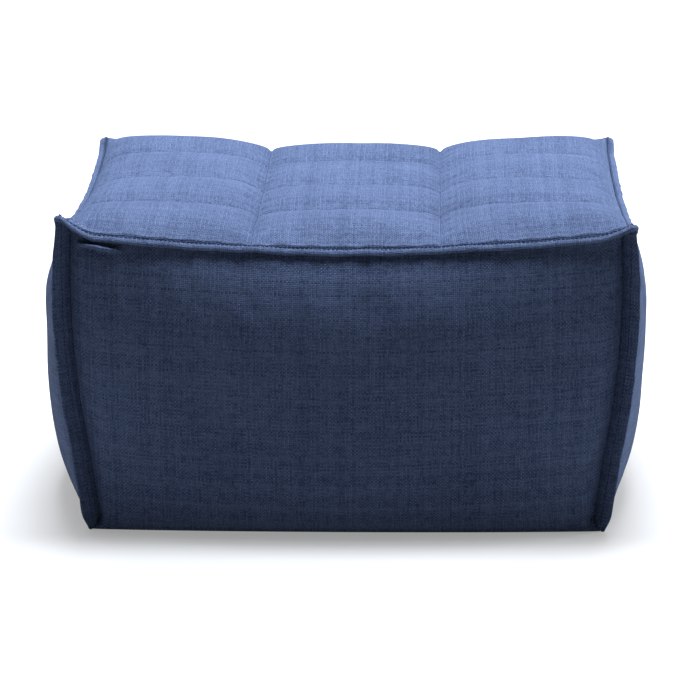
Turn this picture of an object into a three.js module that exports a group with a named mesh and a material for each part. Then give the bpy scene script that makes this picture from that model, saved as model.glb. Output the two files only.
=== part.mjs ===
// Upholstered footstool: a square filled seat with a quilted top, four padded side panels,
// a flat base panel, and flanged seams along the corners and round the top.
// Millimetres, X to the right, Y to the back, Z up, origin on the floor under the middle.

import * as THREE from "three";

// Cloth sizes
const GAP = 0.3;
const PANEL_THICKNESS = 12;
const BASE_THICKNESS = 3;
const BASE_INSET = 0.5;

// Folded seams, made of four layers of cloth
const FLANGE_THICKNESS = 4.5;
const FLANGE_CHAMFER = 1.4;
const TOP_FLANGE_WIDTH = 11;
const TOP_FLANGE_END_WIDTH = 7;
const CORNER_FLANGE_TOP_CLEARANCE = 2.5;

// Top seams: they dip and bow in between the corners, and each corner is pulled up into an ear
const TOP_HALF = 344;
const SEAM_SHOULDER_HEIGHT = 379;
const SEAM_DIP_POWER = 1.7;
const EAR_START = 0.88;
const EAR_POWER = 1.5;

// Each side runs anticlockwise, seen from above, from its start corner to its end corner.
// Its seam's height half way along and how far it bows in there, its share of the panels' swell,
// how far its flange droops in degrees, and how high the ears at its two ends stand above the
// seam's shoulders.
const SIDES = [
  { name: "front", seamHeight: 357, bow: 7, swell: 0.80, droop: 15, startEar: 18, endEar: 9 },
  { name: "right", seamHeight: 364, bow: 2, swell: 0.80, droop: 22, startEar: 9, endEar: 12 },
  { name: "back", seamHeight: 361, bow: 7, swell: 0.85, droop: 20, startEar: 12, endEar: 10 },
  { name: "left", seamHeight: 362, bow: 7, swell: 1.05, droop: 22, startEar: 10, endEar: 18 },
];
const CORNER_NAMES = ["front_right", "back_right", "back_left", "front_left"];

// Side panel sections from the base (level 0) to the top seam (level 1): the corner line's
// distance from the middle, how far the panel swells beyond it half way along, and how far
// the corner's flange stands out
const PANEL_SECTIONS = [
  { level: 0.000, corner: 313.0, swell: 14, flange: 7 },
  { level: 0.035, corner: 314.5, swell: 34, flange: 13 },
  { level: 0.100, corner: 318.0, swell: 46, flange: 14 },
  { level: 0.250, corner: 326.0, swell: 53, flange: 14 },
  { level: 0.450, corner: 337.0, swell: 48, flange: 14 },
  { level: 0.620, corner: 343.0, swell: 43, flange: 14 },
  { level: 0.750, corner: 345.0, swell: 41, flange: 14 },
  { level: 0.840, corner: 345.5, swell: 36, flange: 13 },
  { level: 0.910, corner: 345.0, swell: 28, flange: 11 },
  { level: 0.960, corner: 344.5, swell: 13, flange: 9 },
  { level: 1.000, corner: TOP_HALF, swell: 0, flange: 8 },
];
const SWELL_POWER = 0.75;

// Quilted pads of the top, a row for each row of pads from front to back: crest heights, and how
// high the creases between the columns stand above the seams
const PAD_ROWS = [
  { left: 388, middle: 379, right: 389, columnCrease: 6 },
  { left: 392, middle: 384, right: 393, columnCrease: 9 },
  { left: 397, middle: 387.5, right: 397, columnCrease: 12 },
  { left: 403, middle: 394, right: 403, columnCrease: 18 },
];
const PAD_COLUMNS = ["left", "middle", "right"];
const TOP_CROWN = 22;
const ROW_CREASE_DEPTH = 7.5;
const COLUMN_CREASE_DIP = 6;

// Where the mesh lines cross one pad, from one crease (-1) to the next
const COLUMN_STEPS = [-1, -0.93, -0.8, -0.5, 0, 0.5, 0.8, 0.93];
const ROW_STEPS = [-1, -0.88, -0.5, 0, 0.5, 0.88];

const CLOTH = { color: 0x5b7198, roughness: 0.95, metalness: 0 };

const clamp = THREE.MathUtils.clamp;

function meshLines(pads, steps) {
  const lines = [];
  for (let pad = 0; pad < pads; pad += 1) {
    for (const step of steps) {
      lines.push(-1 + (2 * pad + 1 + step) / pads);
    }
  }
  lines.push(1);
  return lines;
}

const ACROSS = meshLines(PAD_COLUMNS.length, COLUMN_STEPS);
const DEEP = meshLines(PAD_ROWS.length, ROW_STEPS);

// The front and back run across the stool, the left and right run along its depth
function columnsOf(sideIndex) {
  return sideIndex % 2 === 0 ? ACROSS : DEEP;
}

function turned(sideIndex, along, out, z) {
  const point = new THREE.Vector3(along, -out, z);
  return point.applyAxisAngle(new THREE.Vector3(0, 0, 1), (sideIndex * Math.PI) / 2);
}

// Height of a top seam, at t from -1 at its start corner to 1 at its end corner
function earShape(t) {
  return clamp((Math.abs(t) - EAR_START) / (1 - EAR_START), 0, 1) ** EAR_POWER;
}

function seamHeightWithoutEars(side, t) {
  const rise = SEAM_SHOULDER_HEIGHT - side.seamHeight;
  return side.seamHeight + rise * Math.abs(t) ** SEAM_DIP_POWER;
}

function seamHeight(side, t) {
  const ear = t < 0 ? side.startEar : side.endEar;
  return seamHeightWithoutEars(side, t) + ear * earShape(t);
}

function seamBow(side, t) {
  return side.bow * (1 - t * t);
}

// The quilted top at u across and v deep, both from -1 to 1
function topBase(u, v) {
  const [front, right, back, left] = SIDES;
  const acrossPart = (u + 1) / 2;
  const deepPart = (v + 1) / 2;
  const frontToBack = (1 - deepPart) * seamHeightWithoutEars(front, u)
    + deepPart * seamHeightWithoutEars(back, -u);
  const leftToRight = (1 - acrossPart) * seamHeightWithoutEars(left, -v)
    + acrossPart * seamHeightWithoutEars(right, v);
  const crown = TOP_CROWN * (1 - u * u) * (1 - v * v);
  return frontToBack + leftToRight - SEAM_SHOULDER_HEIGHT + crown;
}

function earLift(u, v) {
  const frontSide = v < 0;
  const side = SIDES[frontSide ? 0 : 2];
  const atStart = frontSide ? u < 0 : u > 0;
  return (atStart ? side.startEar : side.endEar) * earShape(u) * earShape(v);
}

// How a pad falls away from its crest: evenly to a crease or to the front and back seams, and
// late to the side seams
function evenDrop(t) {
  const a = Math.abs(t);
  return 0.75 * a ** 2 + 0.25 * a ** 8;
}

function lateDrop(t) {
  const a = Math.abs(t);
  return 0.3 * a ** 2 + 0.3 * a ** 4 + 0.4 * a ** 10;
}

function padPosition(u, count) {
  const place = (count * (u + 1)) / 2;
  const index = Math.min(Math.floor(place), count - 1);
  const t = 2 * (place - index) - 1;
  const towardsEdge = (index === 0 && t < 0) || (index === count - 1 && t > 0);
  return { index, t, centre: -1 + (2 * index + 1) / count, towardsEdge };
}

// A column of the pads' table at v, straight between the middles of its rows
function alongRows(v, name) {
  const place = clamp((PAD_ROWS.length * (v + 1)) / 2 - 0.5, 0, PAD_ROWS.length - 1);
  const row = Math.min(Math.floor(place), PAD_ROWS.length - 2);
  return THREE.MathUtils.lerp(PAD_ROWS[row][name], PAD_ROWS[row + 1][name], place - row);
}

function topHeight(u, v) {
  const column = padPosition(u, PAD_COLUMNS.length);
  const row = padPosition(v, PAD_ROWS.length);
  const drop = evenDrop(row.t);
  let crest = alongRows(v, PAD_COLUMNS[column.index]) - topBase(column.centre, v);
  let crease = alongRows(v, "columnCrease");
  if (row.towardsEdge) {
    crest *= 1 - drop;
    crease *= 1 - drop;
  } else {
    crest -= ROW_CREASE_DEPTH * drop;
    crease -= COLUMN_CREASE_DIP * drop;
  }
  const base = topBase(u, v) + earLift(u, v);
  if (column.towardsEdge) {
    return base + crest * (1 - lateDrop(column.t));
  }
  return base + crease + (crest - crease) * (1 - evenDrop(column.t));
}

function topPoint(u, v) {
  const [front, right, back, left] = SIDES;
  const bowIn = seamBow(u < 0 ? left : right, v);
  const bowDeep = seamBow(v < 0 ? front : back, u);
  return new THREE.Vector3(u * (TOP_HALF - bowIn), v * (TOP_HALF - bowDeep), topHeight(u, v));
}

// A point of a side panel's surface or of the filling behind it, inset from the outer face
const PANEL_BOTTOM = BASE_THICKNESS + GAP;

function panelHeight(side, t, level) {
  const top = seamHeight(side, t) - FLANGE_THICKNESS - GAP;
  return PANEL_BOTTOM + level * (top - PANEL_BOTTOM);
}

function swellAt(side, section, t) {
  return side.swell * section.swell * Math.max(0, 1 - t * t) ** SWELL_POWER;
}

function outReach(side, section, t) {
  return section.corner - seamBow(side, t) * section.level ** 4 + swellAt(side, section, t);
}

function fillingPoint(sideIndex, section, t, inset) {
  const side = SIDES[sideIndex];
  const along = t * (section.corner - inset);
  return turned(sideIndex, along, outReach(side, section, t) - inset, panelHeight(side, t, section.level));
}

// A panel stops short of the corner's diagonal, where the folded seam stands
const SLOT = (FLANGE_THICKNESS / 2 + GAP) * Math.SQRT2;

function panelEnd(side, section, inset) {
  let near = 1 - SLOT / (section.corner - inset);
  let far = 1;
  for (let step = 0; step < 30; step += 1) {
    const middle = (near + far) / 2;
    const distance = outReach(side, section, middle) - inset - middle * (section.corner - inset);
    if (distance > SLOT) {
      near = middle;
    } else {
      far = middle;
    }
  }
  return near;
}

function panelPoint(side, section, t, inset) {
  const end = panelEnd(side, section, inset);
  const s = clamp(t, -end, end);
  const along = s * (section.corner - inset);
  return new THREE.Vector3(along, inset - outReach(side, section, s), panelHeight(side, s, section.level));
}

// Meshes made of rows of points
class SolidBuilder {
  constructor() {
    this.positions = [];
    this.indices = [];
  }

  row(points) {
    return points.map((point) => {
      this.positions.push(point.x, point.y, point.z);
      return this.positions.length / 3 - 1;
    });
  }

  triangle(a, b, c) {
    this.indices.push(a, b, c);
  }

  // Joins two rows of equal length; its face is on the right of lower seen towards upper
  strip(lower, upper) {
    for (let i = 0; i + 1 < lower.length; i += 1) {
      this.triangle(lower[i], lower[i + 1], upper[i + 1]);
      this.triangle(lower[i], upper[i + 1], upper[i]);
    }
  }

  // The same strip facing the other way, so that it lies along a neighbour's strip
  backStrip(lower, upper) {
    for (let i = 0; i + 1 < lower.length; i += 1) {
      this.triangle(lower[i], upper[i + 1], lower[i + 1]);
      this.triangle(lower[i], upper[i], upper[i + 1]);
    }
  }

  geometry() {
    const geometry = new THREE.BufferGeometry();
    geometry.setAttribute("position", new THREE.Float32BufferAttribute(this.positions, 3));
    geometry.setIndex(this.indices);
    geometry.computeVertexNormals();
    return geometry;
  }
}

function clothMesh(name, geometry) {
  const mesh = new THREE.Mesh(geometry, new THREE.MeshStandardMaterial(CLOTH));
  mesh.name = name;
  return mesh;
}

// One closed ring round the stool, without its repeated last point
function ringOf(pointAt) {
  const points = [];
  for (let sideIndex = 0; sideIndex < SIDES.length; sideIndex += 1) {
    const columns = columnsOf(sideIndex);
    for (const t of columns.slice(0, -1)) {
      points.push(pointAt(sideIndex, t));
    }
  }
  return points;
}

function closed(row) {
  return [...row, row[0]];
}

// The quilted top and the filling below it: one filled solid, whose lip covers the panels' tops
function makeQuiltedBody() {
  const solid = new SolidBuilder();
  const grid = DEEP.map((v) => solid.row(ACROSS.map((u) => topPoint(u, v))));
  for (let i = 0; i + 1 < grid.length; i += 1) {
    solid.strip(grid[i], grid[i + 1]);
  }
  const lastRow = grid.length - 1;
  const lastColumn = ACROSS.length - 1;
  const seamRing = [
    ...grid[0].slice(0, lastColumn),
    ...grid.slice(0, lastRow).map((row) => row[lastColumn]),
    ...grid[lastRow].slice(1).reverse(),
    ...grid.slice(1).reverse().map((row) => row[0]),
  ];

  const inset = PANEL_THICKNESS + GAP;
  const topSection = PANEL_SECTIONS[PANEL_SECTIONS.length - 1];
  const rings = [];
  rings.push(solid.row(ringOf((sideIndex, t) => {
    const side = SIDES[sideIndex];
    const out = TOP_HALF - seamBow(side, t);
    return turned(sideIndex, t * TOP_HALF, out, seamHeight(side, t) - FLANGE_THICKNESS);
  })));
  rings.push(solid.row(ringOf((sideIndex, t) => {
    const point = fillingPoint(sideIndex, topSection, t, inset);
    point.z += GAP;
    return point;
  })));
  for (const section of PANEL_SECTIONS.slice(0, -1).reverse()) {
    rings.push(solid.row(ringOf((sideIndex, t) => fillingPoint(sideIndex, section, t, inset))));
  }
  let above = seamRing;
  for (const ring of rings) {
    solid.strip(closed(ring), closed(above));
    above = ring;
  }
  const [centre] = solid.row([new THREE.Vector3(0, 0, PANEL_BOTTOM)]);
  const bottom = closed(above);
  for (let i = 0; i + 1 < bottom.length; i += 1) {
    solid.triangle(bottom[i + 1], bottom[i], centre);
  }
  return clothMesh("quilted_body", solid.geometry());
}

// A padded side panel, swollen outwards, in its own side's frame with the front towards -Y
function makePanel(sideIndex) {
  const side = SIDES[sideIndex];
  const columns = columnsOf(sideIndex);
  const solid = new SolidBuilder();
  const face = (inset) => PANEL_SECTIONS.map(
    (section) => solid.row(columns.map((t) => panelPoint(side, section, t, inset))),
  );
  const outer = face(0);
  const inner = face(PANEL_THICKNESS);
  const top = outer.length - 1;
  for (let i = 0; i < top; i += 1) {
    solid.strip(outer[i], outer[i + 1]);
    solid.backStrip(inner[i], inner[i + 1]);
  }
  const endOf = (rows, column) => rows.map((row) => row[column]);
  const last = columns.length - 1;
  solid.strip(inner[0], outer[0]);
  solid.backStrip(inner[top], outer[top]);
  solid.strip(endOf(outer, 0), endOf(inner, 0));
  solid.strip(endOf(inner, last), endOf(outer, last));
  return clothMesh(`${side.name}_panel`, solid.geometry());
}

// A folded strip lofted through its sections, each a row of points in the same order
function makeStrip(name, sections) {
  const solid = new SolidBuilder();
  const rows = sections.map((section) => solid.row(section));
  for (let i = 0; i + 1 < rows.length; i += 1) {
    solid.strip(closed(rows[i + 1]), closed(rows[i]));
  }
  const capped = [rows[0], [...rows[rows.length - 1]].reverse()];
  for (const cap of capped) {
    for (let i = 1; i + 1 < cap.length; i += 1) {
      solid.triangle(cap[0], cap[i], cap[i + 1]);
    }
  }
  return clothMesh(name, solid.geometry());
}

// Section of a fold: how far out each point is, and how far to one side of the fold's middle
function foldOutline(root, width) {
  const half = FLANGE_THICKNESS / 2;
  return [
    [root, -half],
    [width - FLANGE_CHAMFER, -half],
    [width, -half + FLANGE_CHAMFER],
    [width, half - FLANGE_CHAMFER],
    [width - FLANGE_CHAMFER, half],
    [root, half],
  ];
}

// The flange that stands out of a top seam, drooping between the corners, mitred at both ends
function makeTopFlange(sideIndex) {
  const side = SIDES[sideIndex];
  const fullDroop = THREE.MathUtils.degToRad(side.droop);
  const sections = columnsOf(sideIndex).map((t) => {
    const flangeWidth = THREE.MathUtils.lerp(TOP_FLANGE_WIDTH, TOP_FLANGE_END_WIDTH, t ** 8);
    const droop = fullDroop * (1 - t ** 4);
    const root = TOP_HALF - seamBow(side, t) + GAP + (FLANGE_THICKNESS / 2) * Math.sin(droop);
    const middle = seamHeight(side, t) - FLANGE_THICKNESS / 2;
    return foldOutline(0, flangeWidth).map(([width, rise]) => {
      const out = root + width * Math.cos(droop) + rise * Math.sin(droop);
      const z = middle - width * Math.sin(droop) + rise * Math.cos(droop);
      const mitred = Math.sign(t) * (out - GAP);
      const along = Math.abs(t) === 1 ? mitred : t * TOP_HALF;
      return new THREE.Vector3(along, -out, z);
    });
  });
  return makeStrip(`top_seam_${side.name}`, sections);
}

// The flange that stands out of a corner on its diagonal, at the end of a side's run
function makeCornerFlange(sideIndex) {
  const side = SIDES[sideIndex];
  const outward = new THREE.Vector3(1, -1, 0).normalize();
  const sideways = new THREE.Vector3(-1, -1, 0).normalize();
  const sections = PANEL_SECTIONS.map((section) => {
    const end = section.level === 1;
    const lowered = end ? CORNER_FLANGE_TOP_CLEARANCE : 0;
    const height = panelHeight(side, 1, section.level) - lowered;
    const corner = new THREE.Vector3(section.corner, -section.corner, height);
    return foldOutline(-PANEL_THICKNESS * Math.SQRT2, section.flange).map(([out, across]) => (
      corner.clone().addScaledVector(outward, out).addScaledVector(sideways, across)
    ));
  });
  return makeStrip(`corner_seam_${CORNER_NAMES[sideIndex]}`, sections);
}

// The flat base panel that the stool rests on
function makeBasePanel() {
  const section = PANEL_SECTIONS[0];
  const outline = ringOf((sideIndex, t) => fillingPoint(sideIndex, section, t, BASE_INSET));
  const shape = new THREE.Shape(outline.map((point) => new THREE.Vector2(point.x, point.y)));
  const geometry = new THREE.ExtrudeGeometry(shape, { depth: BASE_THICKNESS, bevelEnabled: false });
  return clothMesh("base_panel", geometry);
}

const footstool = new THREE.Group();
footstool.add(makeQuiltedBody());
footstool.add(makeBasePanel());
SIDES.forEach((side, sideIndex) => {
  const sideGroup = new THREE.Group();
  sideGroup.rotation.z = (sideIndex * Math.PI) / 2;
  sideGroup.add(makePanel(sideIndex));
  sideGroup.add(makeTopFlange(sideIndex));
  sideGroup.add(makeCornerFlange(sideIndex));
  footstool.add(sideGroup);
});

// The sides swell by different amounts, so the stool is moved until its middle is over the origin
const middle = new THREE.Box3().setFromObject(footstool).getCenter(new THREE.Vector3());
footstool.position.set(-middle.x, -middle.y, 0);

export default footstool;
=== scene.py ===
"""Looks of an upholstered footstool: a quilted top, four swollen side panels and flanged seams,
all in one blue melange cloth. Metres, X to the right, Y to the back, Z up, as in the frame."""

import math

import bpy
import numpy as np
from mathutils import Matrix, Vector


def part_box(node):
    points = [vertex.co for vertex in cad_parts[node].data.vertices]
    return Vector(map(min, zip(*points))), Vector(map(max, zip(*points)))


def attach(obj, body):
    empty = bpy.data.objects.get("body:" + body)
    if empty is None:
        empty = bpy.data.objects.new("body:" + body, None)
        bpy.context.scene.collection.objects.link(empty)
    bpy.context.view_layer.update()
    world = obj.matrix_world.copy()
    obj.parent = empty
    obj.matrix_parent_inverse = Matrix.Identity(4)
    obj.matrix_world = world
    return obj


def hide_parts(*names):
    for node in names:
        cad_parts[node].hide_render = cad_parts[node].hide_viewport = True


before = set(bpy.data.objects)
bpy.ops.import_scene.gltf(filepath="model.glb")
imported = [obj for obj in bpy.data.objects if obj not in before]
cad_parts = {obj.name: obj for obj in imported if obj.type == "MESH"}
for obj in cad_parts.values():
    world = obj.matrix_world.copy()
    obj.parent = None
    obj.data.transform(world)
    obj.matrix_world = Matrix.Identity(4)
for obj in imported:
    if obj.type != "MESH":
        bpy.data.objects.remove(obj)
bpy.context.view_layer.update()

# Camera and the middle of the stool.
# The camera looks down at the stool from far off, a little to the right of its front.
CAMERA_FROM_MIDDLE = Vector((0.101, -5.108, 1.201))
CAMERA_AIM = Vector((-0.002, 0.0, 0.1626))
CAMERA_LENS = 206.3
CAMERA_SENSOR = 36.0

front_left_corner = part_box("corner_seam_front_left")[0]
back_right_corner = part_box("corner_seam_back_right")[1]
stool_middle = (front_left_corner + back_right_corner) / 2
stool_middle.z = 0.0

camera_data = bpy.data.cameras.new("camera")
camera_data.lens = CAMERA_LENS
camera_data.sensor_width = CAMERA_SENSOR
camera_data.clip_end = 60.0
camera = bpy.data.objects.new("camera", camera_data)
bpy.context.scene.collection.objects.link(camera)
camera.location = stool_middle + CAMERA_FROM_MIDDLE
camera_sight = stool_middle + CAMERA_AIM - camera.location
camera.rotation_euler = camera_sight.to_track_quat("-Z", "Y").to_euler()
bpy.context.scene.camera = camera

# Cloth: a plain-woven melange upholstery cloth in blues.
# Each thread has its own shade, with darker and lighter slubs along it, and the surface is fuzzy.
# The weave follows each piece's own UV map, which is in metres along its threads.
CLOTH_THREAD_PITCH = 0.0023
CLOTH_LIGHT = (0.084, 0.116, 0.205, 1.0)
CLOTH_DARK = (0.022, 0.033, 0.070, 1.0)
CLOTH_SHEEN_TINT = (0.30, 0.50, 1.00, 1.0)
CLOTH_SHEEN = 0.04
THREAD_WANDER = 0.9
WEFT_OFFSET = 517.0
SLUB_STRETCH = 0.16
SLUB_SCALE = 0.9
THREAD_SHARE = 0.35
SLUB_SHARE = 1.1
FLECK_SHARE = 0.5
CLOUD_SHARE = 0.35
CROSSING_SHARE = 0.24
TONE_OFFSET = -0.45


def add_node(tree, kind, settings=None, **inputs):
    """A node of a kind, with its settings and the values or links of its named inputs."""
    node = tree.nodes.new(kind)
    for name, value in (settings or {}).items():
        setattr(node, name, value)
    for name, value in inputs.items():
        label = name.replace("_", " ")
        places = [s for s in node.inputs if s.name == label or s.identifier == name]
        if isinstance(value, bpy.types.NodeSocket):
            tree.links.new(value, places[0])
        else:
            places[0].default_value = value
    return node


def math_node(tree, operation, first, second=None, third=None):
    """The result of a Math node."""
    node = tree.nodes.new("ShaderNodeMath")
    node.operation = operation
    for socket, value in zip(node.inputs, (first, second, third)):
        if isinstance(value, bpy.types.NodeSocket):
            tree.links.new(value, socket)
        elif value is not None:
            socket.default_value = value
    return node.outputs[0]


def mix_colours(tree, factor, first, second, blend="MIX"):
    """The result of mixing two colours."""
    node = tree.nodes.new("ShaderNodeMix")
    node.data_type = "RGBA"
    node.blend_type = blend
    sockets = (node.inputs["Factor"], node.inputs[6], node.inputs[7])
    for socket, value in zip(sockets, (factor, first, second)):
        if isinstance(value, bpy.types.NodeSocket):
            tree.links.new(value, socket)
        else:
            socket.default_value = value
    return node.outputs[2]


def woven_material(name, light, dark):
    """A woven cloth whose threads run along its UV map."""
    material = bpy.data.materials.new(name)
    material.use_nodes = True
    tree = material.node_tree
    shader = tree.nodes["Principled BSDF"]
    uv = add_node(tree, "ShaderNodeUVMap", {"uv_map": "cloth"}).outputs["UV"]
    threads = add_node(tree, "ShaderNodeVectorMath", {"operation": "SCALE"}, Vector=uv,
                       Scale=1.0 / CLOTH_THREAD_PITCH).outputs[0]
    wobble = add_node(tree, "ShaderNodeTexNoise", {"noise_dimensions": "2D"}, Vector=uv,
                      Scale=60.0, Detail=2.0).outputs["Color"]
    wobble = add_node(tree, "ShaderNodeVectorMath", {"operation": "MULTIPLY_ADD"}, Vector=wobble,
                      Vector_001=(THREAD_WANDER, THREAD_WANDER, 0.0), Vector_002=threads).outputs[0]
    split = add_node(tree, "ShaderNodeSeparateXYZ", Vector=wobble)
    across, along = split.outputs["X"], split.outputs["Y"]

    across_wave = math_node(tree, "SINE", math_node(tree, "MULTIPLY", across, math.pi))
    along_wave = math_node(tree, "SINE", math_node(tree, "MULTIPLY", along, math.pi))
    product = math_node(tree, "MULTIPLY", across_wave, along_wave)
    over = math_node(tree, "MULTIPLY_ADD", product, 2.5, 0.5)
    over = math_node(tree, "MINIMUM", math_node(tree, "MAXIMUM", over, 0.0), 1.0)
    crown = math_node(tree, "SQRT", math_node(tree, "ABSOLUTE", product))

    # Each thread's own shade, and the slubs along it
    warp_shade = add_node(tree, "ShaderNodeTexWhiteNoise", {"noise_dimensions": "1D"},
                          W=math_node(tree, "FLOOR", across)).outputs["Value"]
    weft_number = math_node(tree, "FLOOR", math_node(tree, "ADD", along, WEFT_OFFSET))
    weft_shade = add_node(tree, "ShaderNodeTexWhiteNoise", {"noise_dimensions": "1D"},
                          W=weft_number).outputs["Value"]
    warp_stretch = add_node(tree, "ShaderNodeVectorMath", {"operation": "MULTIPLY"}, Vector=wobble,
                            Vector_001=(1.0, SLUB_STRETCH, 0.0)).outputs[0]
    weft_stretch = add_node(tree, "ShaderNodeVectorMath", {"operation": "MULTIPLY"}, Vector=wobble,
                            Vector_001=(SLUB_STRETCH, 1.0, 0.0)).outputs[0]
    warp_slub = add_node(tree, "ShaderNodeTexNoise", {"noise_dimensions": "2D"}, Vector=warp_stretch,
                         Scale=SLUB_SCALE, Detail=2.0, Roughness=0.6).outputs[0]
    weft_slub = add_node(tree, "ShaderNodeTexNoise", {"noise_dimensions": "2D"}, Vector=weft_stretch,
                         Scale=SLUB_SCALE, Detail=2.0, Roughness=0.6).outputs[0]
    warp_slub = math_node(tree, "MULTIPLY", warp_slub, SLUB_SHARE)
    weft_slub = math_node(tree, "MULTIPLY", weft_slub, SLUB_SHARE)
    warp_tone = math_node(tree, "MULTIPLY_ADD", warp_shade, THREAD_SHARE, warp_slub)
    weft_tone = math_node(tree, "MULTIPLY_ADD", weft_shade, THREAD_SHARE, weft_slub)
    tone = add_node(tree, "ShaderNodeMix", {"data_type": "FLOAT"})
    tree.links.new(over, tone.inputs[0])
    tree.links.new(math_node(tree, "ADD", weft_tone, -0.20), tone.inputs[2])
    tree.links.new(warp_tone, tone.inputs[3])
    fleck = add_node(tree, "ShaderNodeTexNoise", {"noise_dimensions": "2D"}, Vector=threads,
                     Scale=1.7, Detail=1.0).outputs[0]
    crossing = add_node(tree, "ShaderNodeVectorMath", {"operation": "FLOOR"}, Vector=wobble).outputs[0]
    crossing_shade = add_node(tree, "ShaderNodeTexWhiteNoise", {"noise_dimensions": "2D"},
                              Vector=crossing).outputs["Value"]
    cloud = add_node(tree, "ShaderNodeTexNoise", {"noise_dimensions": "2D"}, Vector=uv,
                     Scale=9.0, Detail=3.0).outputs[0]
    tone = tone.outputs[0]
    for pattern, share, offset in ((fleck, FLECK_SHARE, TONE_OFFSET),
                                   (cloud, CLOUD_SHARE, -CLOUD_SHARE / 2),
                                   (crossing_shade, CROSSING_SHARE, -CROSSING_SHARE / 2)):
        tone = math_node(tree, "MULTIPLY_ADD", pattern, share, math_node(tree, "ADD", tone, offset))
    tone = math_node(tree, "MINIMUM", math_node(tree, "MAXIMUM", tone, 0.0), 1.0)
    colour = mix_colours(tree, tone, dark, light)

    # Gaps between the threads lie low, and painted shade darkens the colour there
    painted_gap_shade = math_node(tree, "MULTIPLY_ADD", crown, 0.45, 0.62)
    painted_gap_shade = math_node(tree, "MINIMUM", painted_gap_shade, 1.0)
    painted_gap_shade_colour = add_node(tree, "ShaderNodeCombineColor", Red=painted_gap_shade, Green=painted_gap_shade, Blue=painted_gap_shade).outputs[0]
    colour = mix_colours(tree, 1.0, colour, painted_gap_shade_colour, "MULTIPLY")
    height = math_node(tree, "MULTIPLY_ADD", fleck, 0.35, crown)
    height = math_node(tree, "MULTIPLY_ADD", tone, 0.3, height)
    bump = add_node(tree, "ShaderNodeBump", Height=height, Strength=0.75, Distance=0.0007)

    tree.links.new(colour, shader.inputs["Base Color"])
    tree.links.new(bump.outputs[0], shader.inputs["Normal"])
    shader.inputs["Roughness"].default_value = 0.92
    shader.inputs["Specular IOR Level"].default_value = 0.04
    shader.inputs["Sheen Weight"].default_value = CLOTH_SHEEN
    shader.inputs["Sheen Roughness"].default_value = 0.45
    shader.inputs["Sheen Tint"].default_value = CLOTH_SHEEN_TINT
    return material


cloth = woven_material("melange_cloth", CLOTH_LIGHT, CLOTH_DARK)

# Quilted top: one cloth panel sewn down along two creases from front to back and three from side
# to side. Its twelve pads are filled, and its edge is drawn down into the flanged seam. The filling
# under it reaches down to the base, behind the side panels.
GAP = 0.0003
PANEL_THICKNESS = 0.012
PANEL_BOTTOM = 0.0033
FLANGE_THICKNESS = 0.0045
TOP_HALF = 0.344
SEAM_SHOULDER = 0.379
SEAM_DIP_POWER = 1.7
EAR_START = 0.88
EAR_POWER = 1.5
TOP_CROWN = 0.022
COLUMN_CREASE_DIP = 0.006
ROW_CREASE_DEPTHS = np.array((0.0045, 0.0062, 0.0052))
PAD_STEPS_ACROSS = 38
PAD_STEPS_DEEP = 30
COLUMN_PINCH = 0.0014
ROW_PINCH = 0.0005
PINCH_WIDTH = 0.0045
EDGE_DITCH = 0.0046
EDGE_DITCH_WIDTH = 0.0021
EDGE_LINES = np.array((0.0005, 0.0010, 0.0016, 0.0023, 0.0031, 0.0041))
FILL_FRAMES = 20
TOP_PRESSURE = 4.0
TOP_SLACK = 0.008
TOP_MOST = 0.006
TOP_UNFILLED = 0.0010
TOP_UNEVENNESS = 0.0012
GATHER_HEIGHT = 0.0007
GATHER_REACH = 0.016
CREASE_HELD = 0.0035
CLOTH_STIFFNESS = 15.0
CLOTH_SHEAR = 5.0
CLOTH_BENDING = 0.5

# Crests of the pads in rows from front to back, columns from left to right, and how high the
# creases between the columns stand above the seams in each row
PAD_CRESTS = np.array((
    (0.388, 0.379, 0.389),
    (0.392, 0.384, 0.393),
    (0.397, 0.3875, 0.397),
    (0.403, 0.394, 0.403),
))
COLUMN_CREASES = np.array((0.006, 0.009, 0.012, 0.018))

# Sides run anticlockwise from above. Each has its seam's height half way along, how far the seam
# bows in, the panel's share of the swell, the flange's droop and how much further it curls down,
# the ears at its two ends, and which of them is at the back.
SIDES = (
    {"name": "front", "seam": 0.357, "bow": 0.007, "swell": 0.80, "droop": 20, "curl": 40,
     "ears": (0.018, 0.009), "at_back": (False, False)},
    {"name": "right", "seam": 0.364, "bow": 0.002, "swell": 0.80, "droop": 12, "curl": 22,
     "ears": (0.009, 0.012), "at_back": (False, True)},
    {"name": "back", "seam": 0.361, "bow": 0.007, "swell": 0.85, "droop": 16, "curl": 25,
     "ears": (0.012, 0.010), "at_back": (True, True)},
    {"name": "left", "seam": 0.362, "bow": 0.005, "swell": 1.06, "droop": 12, "curl": 22,
     "ears": (0.010, 0.018), "at_back": (True, False)},
)

# Height share, corner line's distance from the middle, swell, and width of the corner's flange
PANEL_SECTIONS = np.array((
    (0.000, 0.3130, 0.014, 0.007),
    (0.035, 0.3145, 0.034, 0.013),
    (0.100, 0.3180, 0.046, 0.014),
    (0.250, 0.3260, 0.053, 0.014),
    (0.450, 0.3370, 0.048, 0.014),
    (0.620, 0.3430, 0.043, 0.014),
    (0.750, 0.3450, 0.041, 0.014),
    (0.840, 0.3455, 0.036, 0.013),
    (0.910, 0.3450, 0.028, 0.011),
    (0.960, 0.3445, 0.013, 0.009),
    (1.000, 0.3440, 0.000, 0.008),
))
SWELL_POWER = 0.75


def smooth_column(level, column):
    """A column of the panel sections at any height share, on a smooth curve through its rows."""
    places = PANEL_SECTIONS[:, 0]
    values = PANEL_SECTIONS[:, column]
    slopes = np.gradient(values, places)
    row = np.clip(np.searchsorted(places, level, side="right") - 1, 0, len(places) - 2)
    step = places[row + 1] - places[row]
    s = (level - places[row]) / step
    start = (1 + 2 * s) * (1 - s) ** 2 * values[row] + s * (1 - s) ** 2 * step * slopes[row]
    end = s * s * (3 - 2 * s) * values[row + 1] + s * s * (s - 1) * step * slopes[row + 1]
    return start + end


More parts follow.
